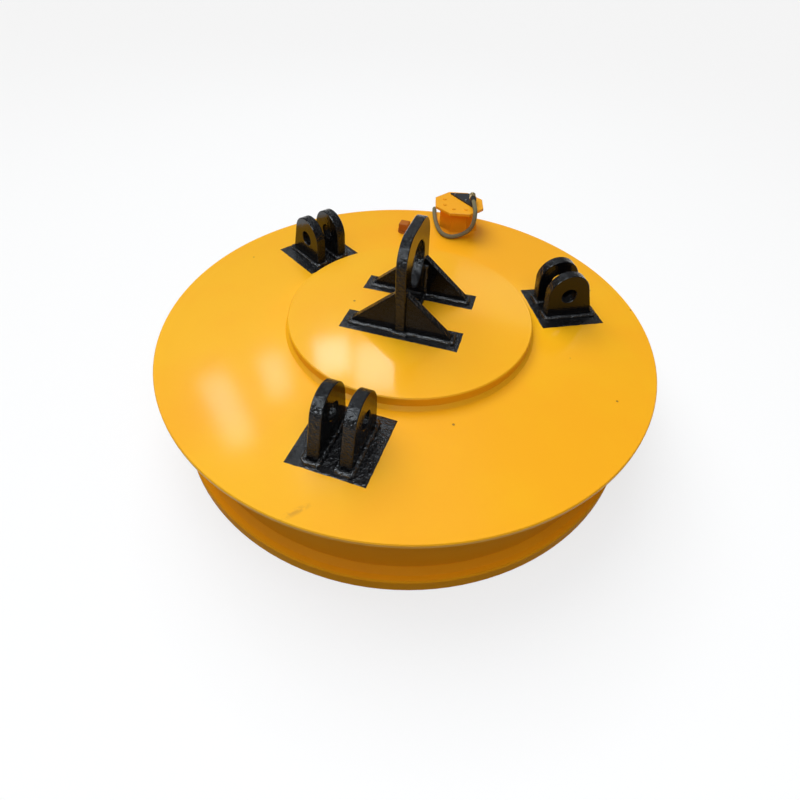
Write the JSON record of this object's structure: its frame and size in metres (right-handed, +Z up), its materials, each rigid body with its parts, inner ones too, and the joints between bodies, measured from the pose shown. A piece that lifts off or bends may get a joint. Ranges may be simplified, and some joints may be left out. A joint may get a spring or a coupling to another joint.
{
  "type": "lifting magnet",
  "caption": "Round electromagnetic lifting magnet with a central lifting eye, double chain lugs, a terminal box and a supply cable.",
  "frame": {"origin": "centre of the pole face, on the magnet's axis", "axes": "+Z up along the magnet's axis, +X along the axis of the eye's hole, +Y from the eye to the terminal box"},
  "size_m": [1.4999, 1.683, 0.616],
  "materials": {
    "yellow_paint": "glossy enamel paint",
    "black_paint": "glossy brushed enamel paint",
    "black_weld": "thick glossy paint over weld beads",
    "machined_steel": "turned",
    "bolt_steel": "blackened",
    "manganese_steel": "rolled plate",
    "aluminium_winding": "strip edges",
    "coil_insulation": "varnished glass laminate",
    "copper": "copper bar",
    "brass": "machined brass",
    "moulded_insulator": "moulded phenolic",
    "gasket_rubber": "sheet rubber",
    "gland_black": "semi-gloss black",
    "boot_rubber": "moulded rubber",
    "zinc_steel": "bright zinc plate",
    "cable_sheath": "satin rubber sheath",
    "tie_plastic": "nylon strap",
    "plug_metal": "cast aluminium"
  },
  "bodies": {
    "magnet": {"boss_plate": "yellow_paint", "boss_weld": "yellow_paint", "cable_boot": "boot_rubber", "cable_coil": "cable_sheath", "cable_lead": "cable_sheath", "cable_tail": "cable_sheath", "coil_bottom_insulation": "coil_insulation", "coil_inner_sleeve": "coil_insulation", "coil_leads": "copper", "coil_lower": "aluminium_winding", "coil_outer_sleeve": "coil_insulation", "coil_spacer": "coil_insulation", "coil_ties": "tie_plastic", "coil_top_insulation": "coil_insulation", "coil_upper": "aluminium_winding", "eye_gusset_front_left": "black_paint", "eye_gusset_front_right": "black_paint", "eye_gusset_rear_left": "black_paint", "eye_gusset_rear_right": "black_paint", "eye_plate": "black_paint", "eye_weld": "black_weld", "filler_collar": "yellow_paint", "filler_plug": "yellow_paint", "gland_base": "gland_black", "gland_elbow": "brass", "gland_nut": "brass", "gland_screws": "zinc_steel", "guard_plate": "manganese_steel", "guard_welds": "manganese_steel", "gusset_welds": "black_weld", "housing_shell": "yellow_paint", "inner_core": "machined_steel", "inner_pole_shoe": "machined_steel", "lead_bushings": "moulded_insulator", "lid_gasket": "gasket_rubber", "lid_screws": "yellow_paint", "lug_front_a": "black_paint", "lug_front_b": "black_paint", "lug_left_a": "black_paint", "lug_left_b": "black_paint", "lug_right_a": "black_paint", "lug_right_b": "black_paint", "lug_weld_front": "black_weld", "lug_weld_left": "black_weld", "lug_weld_right": "black_weld", "neck_weld": "yellow_paint", "outer_pole_ring": "yellow_paint", "plug_body": "plug_metal", "plug_boot": "boot_rubber", "plug_insert": "moulded_insulator", "plug_nut": "zinc_steel", "plug_pins": "brass", "shoe_bolts": "bolt_steel", "terminal_board": "moulded_insulator", "terminal_box_body": "yellow_paint", "terminal_box_lid": "yellow_paint", "terminal_box_weld": "yellow_paint", "terminal_studs": "brass", "top_plate": "yellow_paint"},
    "plug_ring": {"coupling_ring": "plug_metal"}
  },
  "joints": [
    {"name": "coupling_ring_turn", "type": "hinge", "parent": "magnet", "child": "plug_ring", "pos_m": [0.1124, 0.9, 0.035], "axis": [1, 0, 0], "continuous": true}
  ]
}
